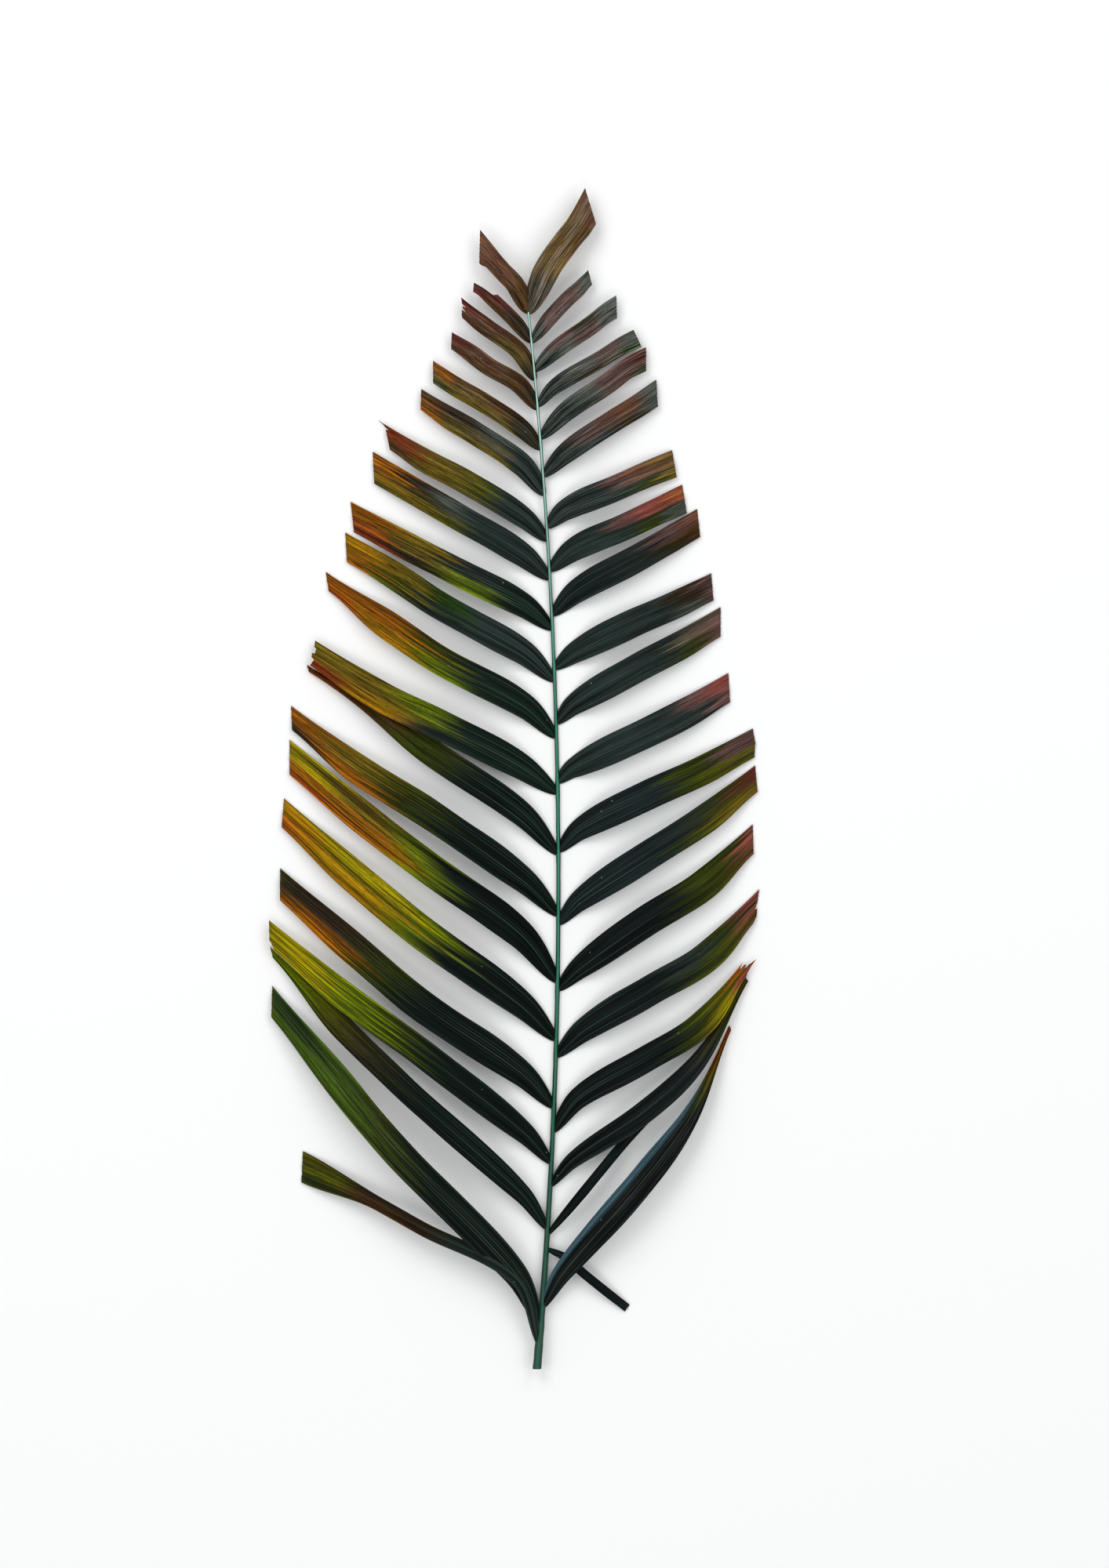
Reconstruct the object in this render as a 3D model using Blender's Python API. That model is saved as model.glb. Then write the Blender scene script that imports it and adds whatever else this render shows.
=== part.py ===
"""A preserved areca palm frond, trimmed and lying face up on a surface.

The frond grew as one piece: a slender keeled stalk with two rows of long pleated leaflets, whose ends
were cut off square to the surface and nearly parallel to the stalk.  X points right across the frond,
Y along the stalk towards its tip and Z up.  The origin is on the flat underside of the stalk.
Sizes are in metres.
"""

import math

import bmesh
import bpy

# Stalk
STALK_CUT_Y = -0.370
STALK_TIP_Y = 0.437
STALK_BEND_RADIUS = 4.17
STALK_TIP_WIDTH = 0.0017
STALK_TAPER_WIDTH = 0.0023
STALK_TAPER_POWER = 0.7
STALK_BUTT_WIDTH = 0.0028
STALK_BUTT_LENGTH = 0.055
STALK_HEIGHT_PER_WIDTH = 1.05
STALK_STATIONS = 30
STALK_SECTION = (
    (-0.34, 0.0), (0.34, 0.0), (0.5, 0.3), (0.44, 0.64),
    (0.12, 1.0), (-0.12, 1.0), (-0.44, 0.64), (-0.5, 0.3),
)  # across and up, as shares of the width and height

# The stalk is level between these two, and rises gently beyond them
LEVEL_FROM_Y = -0.130
LEVEL_TO_Y = 0.130
BUTT_RISE = 0.006
TIP_RISE = 0.012

# Leaflets
BLADE_THICKNESS = 0.0009
ROOT_WIDTH = 0.0022
ROOT_DEPTH = 0.5
BLADE_STATIONS = (0.0, 0.03, 0.09, 0.2, 0.36, 0.54, 0.72, 0.87, 1.0)
BLADE_LINES = (-1.0, -0.5, 0.0, 0.5, 1.0)
PLEAT_SHARES = (0.0, -1.0, 0.6, -1.0, 0.0)
PLEAT_DEPTH = 0.0006
PLEATS_BEGIN = 0.05
PLEATS_FULL = 0.3
BASE_FOLD = 0.9
BASE_FOLD_LENGTH = 0.36
WIDENING_LENGTH = {"left": 0.3, "right": 0.38}
WIDENING_POWER = 0.65
ARCH_PER_LENGTH = 0.055
ARCH_SKEW = 0.75
SHINGLE_SLOPE = 0.27
SHINGLE_FULL = 0.2
SHINGLE_SLOPE_AT_TIP = 0.12
CUT_BLEND_START = 0.72
POINTED_BLEND_START = 0.5
POINTED_CUT_SHARE = 0.3
TIP_CLEARANCE = 0.00015
DIRECTION_STEP = 0.01

# The plan was drawn on a grid of 0.6 mm steps, counted right and down from the corner of the drawing
PLAN_STEP = 0.0006
PLAN_ORIGIN = (712, 1128)

# One row for each leaflet, from the stalk's tip down: the row where it leaves the stalk, then the middle of
# its blade near its base, half way along and near its end, the upper and lower corner of its cut end, its
# width in millimetres, and how high its end lies above the surface in millimetres
LEFT_LEAFLETS = (
    (401, (658, 367), (640, 347), (626, 331), (612, 294), (611, 337), 14.5, 9.0),
    (438, (658, 413), (632, 387), (616, 373), (603, 356), (603, 373), 11.0, 7.0),
    (486, (662, 450), (621, 419), (604, 406), (588, 380), (589, 406), 13.5, 6.0),
    (523, (662, 492), (624, 469), (600, 451), (576, 424), (575, 446), 14.0, 5.0),
    (574, (665, 547), (614, 513), (583, 495), (552, 460), (552, 489), 15.0, 4.0),
    (632, (666, 594), (604, 552), (570, 532), (537, 496), (536, 523), 18.0, 3.0),
    (690, (668, 661), (595, 616), (540, 587), (490, 541), (497, 574), 18.5, 2.0),
    (739, (665, 707), (583, 659), (530, 628), (475, 576), (477, 617), 20.5, 1.0),
    (803, (667, 772), (575, 726), (510, 692), (447, 640), (451, 679), 21.5, 0.0),
    (869, (667, 832), (565, 775), (503, 734), (440, 679), (442, 717), 21.5, 0.0),
    (941, (668, 900), (564, 844), (482, 789), (415, 729), (419, 754), 22.0, 0.0),
    (1012, (660, 975), (560, 924), (480, 885), (402, 817), (394, 848), 23.0, 5.0),
    (1090, (664, 1037), (555, 963), (470, 901), (391, 848), (394, 857), 21.0, 0.0),
    (1168, (667, 1122), (545, 1036), (455, 980), (371, 900), (372, 931), 23.0, 0.0),
    (1253, (662, 1190), (539, 1101), (452, 1034), (369, 943), (369, 988), 24.5, 0.0),
    (1327, (664, 1280), (535, 1186), (445, 1112), (362, 1018), (359, 1055), 25.0, 0.0),
    (1413, (664, 1368), (535, 1279), (440, 1200), (357, 1107), (357, 1148), 24.0, 2.0),
    (1484, (668, 1444), (540, 1343), (440, 1270), (343, 1173), (344, 1207), 21.5, 5.0),
    (1568, (665, 1521), (515, 1385), (430, 1303), (344, 1207), (348, 1221), 18.5, 0.0),
    (1690, (655, 1620), (500, 1460), (423, 1368), (347, 1257), (346, 1297), 23.0, 2.0),
    (1715, (659, 1629), (541, 1566), (461, 1523), (386, 1468), (384, 1508), 10.5, 0.0),
)
RIGHT_LEAFLETS = (
    (402, (696, 349), (721, 312), (739, 289), (746, 241), (760, 287), 20.0, 10.0),
    (438, (699, 410), (724, 383), (739, 369), (750, 345), (755, 364), 12.0, 7.0),
    (474, (706, 450), (752, 417), (771, 402), (786, 377), (787, 407), 14.5, 6.0),
    (519, (708, 494), (765, 460), (790, 444), (808, 421), (818, 443), 13.5, 5.0),
    (560, (721, 527), (775, 490), (800, 471), (824, 443), (824, 474), 16.0, 4.0),
    (608, (721, 579), (783, 537), (811, 520), (837, 484), (839, 519), 17.5, 3.0),
    (673, (721, 651), (783, 624), (824, 606), (857, 574), (863, 609), 20.0, 2.0),
    (728, (732, 701), (793, 674), (836, 654), (870, 618), (876, 655), 20.5, 1.0),
    (785, (736, 754), (804, 717), (850, 691), (889, 649), (893, 685), 21.0, 0.0),
    (853, (734, 832), (803, 797), (858, 773), (907, 731), (910, 766), 21.5, 0.0),
    (923, (733, 898), (813, 852), (868, 823), (919, 774), (919, 812), 22.0, 0.0),
    (998, (731, 980), (824, 935), (879, 907), (929, 858), (931, 896), 23.0, 0.0),
    (1086, (741, 1057), (824, 1015), (895, 983), (960, 929), (962, 966), 22.5, 0.0),
    (1179, (740, 1148), (824, 1092), (895, 1047), (963, 976), (966, 1010), 22.5, 0.0),
    (1263, (741, 1233), (824, 1174), (895, 1130), (960, 1051), (961, 1089), 23.5, 0.0),
    (1348, (745, 1313), (830, 1262), (900, 1221), (967, 1135), (965, 1173), 23.0, 0.0),
    (1444, (739, 1399), (825, 1349), (893, 1307), (944, 1231), (955, 1241), 20.0, 3.0),
    (1513, (731, 1479), (819, 1419), (890, 1353), (950, 1246), (954, 1251), 17.0, 1.0),
    (1575, (735, 1530), (767, 1491), (800, 1452), (838, 1405), (846, 1412), 7.5, 0.0),
    (1592, (722, 1604), (745, 1624), (773, 1647), (803, 1664), (797, 1673), 7.0, 0.0),
    (1668, (718, 1621), (815, 1508), (883, 1417), (930, 1308), (932, 1313), 21.0, 0.0),
)
MILLIMETRE = 0.001

# Material
FROND_COLOUR = (0.022, 0.034, 0.016, 1.0)
FROND_ROUGHNESS = 0.5


def smooth_step(low, high, value):
    """Return 0 below low and 1 above high, with a smooth rise between them."""
    share = min(1.0, max(0.0, (value - low) / (high - low)))
    return share * share * (3.0 - 2.0 * share)


def blend(start, end, share):
    return start + (end - start) * share


def plan_point(corner):
    """Return the x and y of a point of the plan drawing."""
    right, down = corner
    x = (right - PLAN_ORIGIN[0]) * PLAN_STEP
    y = (PLAN_ORIGIN[1] - down) * PLAN_STEP
    return x, y


def stalk_x(y):
    """The stalk curves to the left at both ends of its level stretch."""
    return -y * y / (2.0 * STALK_BEND_RADIUS)


def stalk_underside(y):
    """Return the height of the stalk's underside above the surface."""
    if y < LEVEL_FROM_Y:
        share = (y - LEVEL_FROM_Y) / (STALK_CUT_Y - LEVEL_FROM_Y)
        return BUTT_RISE * share * share
    if y > LEVEL_TO_Y:
        share = (y - LEVEL_TO_Y) / (STALK_TIP_Y - LEVEL_TO_Y)
        return TIP_RISE * share * share
    return 0.0


def stalk_width(y):
    from_cut = y - STALK_CUT_Y
    left_to_tip = max(0.0, 1.0 - from_cut / (STALK_TIP_Y - STALK_CUT_Y))
    taper = STALK_TAPER_WIDTH * left_to_tip**STALK_TAPER_POWER
    butt = STALK_BUTT_WIDTH * math.exp(-from_cut / STALK_BUTT_LENGTH)
    return STALK_TIP_WIDTH + taper + butt


def close_grid(mesh, rings):
    """Join rings of points, each a closed loop, by triangles, and cap both ends with a fan."""
    count = len(rings[0])
    for ring, following in zip(rings, rings[1:]):
        for here in range(count):
            after = (here + 1) % count
            mesh.faces.new((ring[here], ring[after], following[after]))
            mesh.faces.new((ring[here], following[after], following[here]))
    mesh.faces.new(tuple(reversed(rings[0])))
    mesh.faces.new(tuple(rings[-1]))


def object_from(mesh, name):
    """Turn a bmesh into an object of the scene, with its faces pointing outwards."""
    bmesh.ops.recalc_face_normals(mesh, faces=mesh.faces)
    bmesh.ops.triangulate(mesh, faces=mesh.faces)
    data = bpy.data.meshes.new(name)
    mesh.to_mesh(data)
    mesh.free()
    made = bpy.data.objects.new(name, data)
    bpy.context.scene.collection.objects.link(made)
    return made


def make_stalk():
    """Build the keeled stalk from its cut end to its tip."""
    mesh = bmesh.new()
    rings = []
    for index in range(STALK_STATIONS + 1):
        y = blend(STALK_CUT_Y, STALK_TIP_Y, index / STALK_STATIONS)
        width = stalk_width(y)
        height = width * STALK_HEIGHT_PER_WIDTH
        ring = []
        for across, up in STALK_SECTION:
            ring.append(mesh.verts.new((stalk_x(y) + across * width, y, stalk_underside(y) + up * height)))
        rings.append(ring)
    close_grid(mesh, rings)
    return object_from(mesh, "frond")


def curve_through(points):
    """Return a smooth curve through plan points, as a function of the length's share, and its length."""
    knots = [0.0]
    for (x0, y0), (x1, y1) in zip(points, points[1:]):
        knots.append(knots[-1] + math.hypot(x1 - x0, y1 - y0))

    def slope(at, part):
        """The curve's direction at a point, from its neighbours."""
        low = max(0, at - 1)
        high = min(len(points) - 1, at + 1)
        return (points[high][part] - points[low][part]) / (knots[high] - knots[low])

    def place(share):
        distance = share * knots[-1]
        span = 0
        while span < len(points) - 2 and distance > knots[span + 1]:
            span += 1
        gap = knots[span + 1] - knots[span]
        t = (distance - knots[span]) / gap
        found = []
        for part in (0, 1):
            start = points[span][part]
            end = points[span + 1][part]
            leave = slope(span, part) * gap
            arrive = slope(span + 1, part) * gap
            bend = (1.0 - t) * (leave - (end - start)) + t * ((end - start) - arrive)
            found.append(blend(start, end, t) + t * (1.0 - t) * bend)
        return found

    return place, knots[-1]


def blade_width(share, width, side):
    """Return a leaflet's width, which grows from a pointed base to its full value."""
    left_to_full = 1.0 - min(1.0, share / WIDENING_LENGTH[side])
    return blend(ROOT_WIDTH, width, (1.0 - left_to_full**2) ** WIDENING_POWER)


def blade_relief(share, line, pleat, width):
    """Return how far a point of the blade stands above its middle: fold, shingle tilt and pleats."""
    fold = BASE_FOLD * (1.0 - smooth_step(0.0, BASE_FOLD_LENGTH, share))
    slope = blend(SHINGLE_SLOPE, SHINGLE_SLOPE_AT_TIP, share) * smooth_step(0.0, SHINGLE_FULL, share)
    half = 0.5 * width
    pleats = PLEAT_DEPTH * pleat * smooth_step(PLEATS_BEGIN, PLEATS_FULL, share)
    return half * (slope * line - fold * abs(line)) + pleats


def leaflet_surface(leaflet, side):
    """Return the rows of points of a leaflet's upper face, from its root inside the stalk to its cut."""
    root_row, near, middle, far, upper, lower, width_mm, end_mm = leaflet
    root_y = (PLAN_ORIGIN[1] - root_row) * PLAN_STEP
    root = (stalk_x(root_y), root_y)
    upper = plan_point(upper)
    lower = plan_point(lower)
    tip = (0.5 * (upper[0] + lower[0]), 0.5 * (upper[1] + lower[1]))
    cut = (0.5 * (lower[0] - upper[0]), 0.5 * (lower[1] - upper[1]))
    place, length = curve_through((root, plan_point(near), plan_point(middle), plan_point(far), tip))

    # A leaflet that ends in a point narrows over its last half
    pointed = math.hypot(*cut) < 0.5 * POINTED_CUT_SHARE * width_mm * MILLIMETRE
    blend_start = POINTED_BLEND_START if pointed else CUT_BLEND_START
    root_z = stalk_underside(root_y) + ROOT_DEPTH * stalk_width(root_y) + 0.5 * BLADE_THICKNESS
    tip_z = BLADE_THICKNESS + end_mm * MILLIMETRE
    turn = -1.0 if side == "left" else 1.0
    rows = []
    for share in BLADE_STATIONS:
        x, y = place(share)
        before = place(share - DIRECTION_STEP)
        after = place(share + DIRECTION_STEP)
        along = math.hypot(after[0] - before[0], after[1] - before[1])
        # The unit vector across the blade, towards its lower edge
        across_x = turn * (after[1] - before[1]) / along
        across_y = -turn * (after[0] - before[0]) / along
        width = blade_width(share, width_mm * MILLIMETRE, side)
        to_cut = smooth_step(blend_start, 1.0, share)
        half_x = blend(0.5 * width * across_x, cut[0], to_cut)
        half_y = blend(0.5 * width * across_y, cut[1], to_cut)
        arch = ARCH_PER_LENGTH * length * math.sin(math.pi * share**ARCH_SKEW)
        middle_z = blend(root_z, tip_z, share * share) + arch
        row = []
        for line, pleat in zip(BLADE_LINES, PLEAT_SHARES):
            z = middle_z + blade_relief(share, line, pleat, width)
            z = max(z, BLADE_THICKNESS + TIP_CLEARANCE)
            row.append((x + line * half_x, y + line * half_y, z))
        rows.append(row)
    return rows


def make_leaflet(leaflet, side, name):
    """Build one leaflet as a thin closed blade, split into triangles alike on both faces."""
    mesh = bmesh.new()
    rings = []
    for row in leaflet_surface(leaflet, side):
        top = [mesh.verts.new(point) for point in row]
        bottom = [mesh.verts.new((x, y, z - BLADE_THICKNESS)) for x, y, z in row]
        rings.append((top, bottom))
    last = len(BLADE_LINES) - 1
    for (top, bottom), (next_top, next_bottom) in zip(rings, rings[1:]):
        for here in range(last):
            after = here + 1
            for face in (top, next_top), (bottom, next_bottom):
                mesh.faces.new((face[0][here], face[0][after], face[1][after]))
                mesh.faces.new((face[0][here], face[1][after], face[1][here]))
        for edge in (0, last):
            mesh.faces.new((top[edge], next_top[edge], next_bottom[edge]))
            mesh.faces.new((top[edge], next_bottom[edge], bottom[edge]))
    for top, bottom in (rings[0], rings[-1]):
        for here in range(last):
            after = here + 1
            mesh.faces.new((top[here], top[after], bottom[after]))
            mesh.faces.new((top[here], bottom[after], bottom[here]))
    return object_from(mesh, name)


def fuse(stalk, leaflets):
    """Join the leaflets to the stalk by one union, and remove the separate leaflets."""
    group = bpy.data.collections.new("leaflets")
    bpy.context.scene.collection.children.link(group)
    for leaflet in leaflets:
        bpy.context.scene.collection.objects.unlink(leaflet)
        group.objects.link(leaflet)
    union = stalk.modifiers.new("leaflets", "BOOLEAN")
    union.operation = "UNION"
    union.operand_type = "COLLECTION"
    union.collection = group
    union.solver = "MANIFOLD"
    bpy.context.view_layer.objects.active = stalk
    bpy.ops.object.modifier_apply(modifier=union.name)
    for leaflet in list(group.objects):
        bpy.data.objects.remove(leaflet, do_unlink=True)
    bpy.data.collections.remove(group)


def frond_material():
    material = bpy.data.materials.new("preserved_leaf")
    material.use_nodes = True
    shader = material.node_tree.nodes["Principled BSDF"]
    shader.inputs["Base Color"].default_value = FROND_COLOUR
    shader.inputs["Roughness"].default_value = FROND_ROUGHNESS
    shader.inputs["Metallic"].default_value = 0.0
    return material


def main():
    for old in list(bpy.data.objects):
        bpy.data.objects.remove(old, do_unlink=True)
    frond = make_stalk()
    leaflets = []
    for side, rows in (("left", LEFT_LEAFLETS), ("right", RIGHT_LEAFLETS)):
        for number, row in enumerate(rows, start=1):
            leaflets.append(make_leaflet(row, side, f"{side}_{number:02d}"))
    fuse(frond, leaflets)
    frond.data.materials.append(frond_material())


main()
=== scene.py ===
import math
import random

import bpy
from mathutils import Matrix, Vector, noise


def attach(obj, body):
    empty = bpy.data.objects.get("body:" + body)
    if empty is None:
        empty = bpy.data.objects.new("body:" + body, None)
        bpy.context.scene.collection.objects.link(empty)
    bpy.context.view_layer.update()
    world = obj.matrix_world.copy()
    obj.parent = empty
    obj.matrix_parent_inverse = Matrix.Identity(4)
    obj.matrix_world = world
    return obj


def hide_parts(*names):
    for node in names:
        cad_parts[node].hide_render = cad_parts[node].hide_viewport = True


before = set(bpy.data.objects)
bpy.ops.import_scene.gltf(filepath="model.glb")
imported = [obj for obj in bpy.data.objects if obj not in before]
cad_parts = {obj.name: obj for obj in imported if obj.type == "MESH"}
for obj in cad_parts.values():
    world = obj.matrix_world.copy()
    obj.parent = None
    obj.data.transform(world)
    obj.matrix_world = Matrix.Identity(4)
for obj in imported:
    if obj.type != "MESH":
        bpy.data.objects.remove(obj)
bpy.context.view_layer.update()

mm = 0.001

# The plan is read in picture units: one unit is 0.6 mm on the frond, and the frame's origin is at this point
plan = dict(unit=0.6 * mm, originX=712, originY=1128)


def rowToY(row):
    return (plan["originY"] - row) * plan["unit"]


def onPlan(point):
    return (point[0] - plan["originX"]) * plan["unit"], rowToY(point[1])


def smoothStep(low, high, value):
    share = min(1.0, max(0.0, (value - low) / (high - low)))
    return share * share * (3.0 - 2.0 * share)


def between(start, end, share):
    return start + (end - start) * share


def linearColour(red, green, blue):
    # screen colour, 0 to 255, as the linear colour that the shaders take
    return tuple((part / 255.0) ** 2.2 for part in (red, green, blue))


def selectOnly(piece):
    bpy.ops.object.select_all(action="DESELECT")
    piece.select_set(True)
    bpy.context.view_layer.objects.active = piece


def moveVertices(data, points):
    # every vertex of a mesh to a place of its own
    data.vertices.foreach_set("co", [value for point in points for value in point])


def storeAttribute(data, name, triples):
    # three values at each vertex, for the materials to read
    layer = data.attributes.new(name, "FLOAT_VECTOR", "POINT")
    layer.data.foreach_set("vector", [value for triple in triples for value in triple])


def finishPiece(piece, name, materials):
    piece.name = name
    piece.data.name = name
    for material in materials:
        piece.data.materials.append(material)
    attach(piece, "root")
    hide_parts("frond")


# Stalk: the same curve, widths and heights as the solid one
stalk = dict(
    cutEnd=-0.370, tip=0.437, bendRadius=4.17,
    levelFrom=-0.130, levelTo=0.130, cutRise=6 * mm, tipRise=12 * mm,
    tipWidth=1.7 * mm, taperWidth=2.3 * mm, taperPower=0.7,
    buttWidth=2.8 * mm, buttLength=55 * mm, heightPerWidth=1.05,
    # the rod that it is pressed from: where it is cut flat below, and its keel above
    sides=24, rings=170, flatAt=-0.86, keelFrom=0.1, keel=0.42,
    nodeSwelling=0.16, nodeReach=4 * mm, waver=0.12 * mm, waverTurns=120.0, smoothAngle=50,
)


def stalkX(y):
    return -y * y / (2.0 * stalk["bendRadius"])


def stalkUnderside(y):
    if y < stalk["levelFrom"]:
        return stalk["cutRise"] * ((y - stalk["levelFrom"]) / (stalk["cutEnd"] - stalk["levelFrom"])) ** 2
    if y > stalk["levelTo"]:
        return stalk["tipRise"] * ((y - stalk["levelTo"]) / (stalk["tip"] - stalk["levelTo"])) ** 2
    return 0.0


def stalkWidth(y):
    fromCut = y - stalk["cutEnd"]
    leftToTip = max(0.0, 1.0 - fromCut / (stalk["tip"] - stalk["cutEnd"]))
    butt = stalk["buttWidth"] * math.exp(-fromCut / stalk["buttLength"])
    return stalk["tipWidth"] + stalk["taperWidth"] * leftToTip ** stalk["taperPower"] + butt


# Leaflets: one blade blank, bent along each leaflet's own curve. Places along it are shares of its length
blade = dict(
    columns=44, rows=64, thickness=0.35 * mm, solidThickness=0.9 * mm, clearance=0.15 * mm, smoothAngle=55,
    ribs=11, ribHeight=0.17 * mm, pleatLow=-0.85 * mm, pleatHigh=0.5 * mm, pleatsFull=0.16,
    # the outline, from the narrow root to the cut or the point
    rootWidth=2.2 * mm, rootDepth=0.5, rootPacking=1.2,
    wideningLength=dict(left=0.3, right=0.38), wideningPower=0.65,
    cutBlendStart=0.72, pointedBlendStart=0.5, pointedShare=0.3, directionStep=0.01,
    teeth=0.44 * mm, toothReach=0.4,
    edgeWave=0.044, edgeWaveLength=40 * mm, edgeWaveFull=(0.08, 0.3), edgesApart=3.0, edgeSeed=90.0,
    # the height: a fold at the root, a tilt, an arch and small ripples
    fold=0.9, foldLength=0.36, slope=0.27, slopeFull=0.2, slopeAtTip=0.12,
    archPerLength=0.055, archSkew=0.75,
    ripple=0.9 * mm, rippleLength=50 * mm, rippleFull=(0.1, 0.3), rippleAcross=0.7, rippleSeed=60.0,
    # what differs from leaflet to leaflet and from rib to rib
    depthRange=(0.75, 1.25), lineShift=0.14, ribLight=(0.75, 1.25), ribStop=0.07, ribMix=0.35,
    # ridge keys: how strongly the rib tops take the painted highlight
    ridgeRange=(0.1, 1.0), ridgePower=4, ridgeSharpness=4.0,
    # where across the blade its upper and lower tones meet, softly or at a fold
    tonesMeet=(-0.25, 0.65), foldSoftness=0.1,
    # creases lie between two ribs: the number of the rib after it, and how deep it is; their lines are also
    # darkened as painted shade
    steadyCreases={2: 0.8, 9: 0.9}, extraCreases=3, creaseRange=(0.3, 0.9),
    creaseDepth=0.3 * mm, creaseSharpness=2.0, creaseShadeSharpness=3.0,
    # the tip's leaflets get painted highlight streaks, less and less between these rows; the left ones have
    # the stronger streaks
    tipPaintedGloss=dict(left=0.4, right=1.0), tipPaintedGlossRows=(480, 830), vivid=dict(left=1.0, right=0.55),
)

# What the eye sees as one tone on the leaflets, as screen colours
tones = dict(
    pine=(21, 34, 27), yew=(14, 23, 19), night=(26, 33, 34), ink=(18, 23, 23), slate=(37, 46, 44),
    fern=(36, 60, 18), grass=(60, 82, 18), moss=(48, 56, 12),
    olive=(76, 78, 8), khaki=(104, 88, 22), lime=(98, 114, 2), yellow=(148, 134, 2), gold=(158, 112, 6),
    amber=(146, 86, 10), orange=(154, 74, 18), rust=(116, 52, 22), clay=(100, 66, 48), brown=(80, 55, 28),
    umber=(50, 40, 27), bark=(50, 46, 26), taupe=(82, 74, 60), tan=(106, 82, 46), maroon=(92, 42, 36),
    # the last tone below is a pale blue painted highlight, not a colour of the leaflets
    mauve=(92, 68, 64), rose=(124, 66, 58), ash=(76, 82, 76), sienna=(132, 74, 44), sheen=(62, 88, 98),
)

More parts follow.
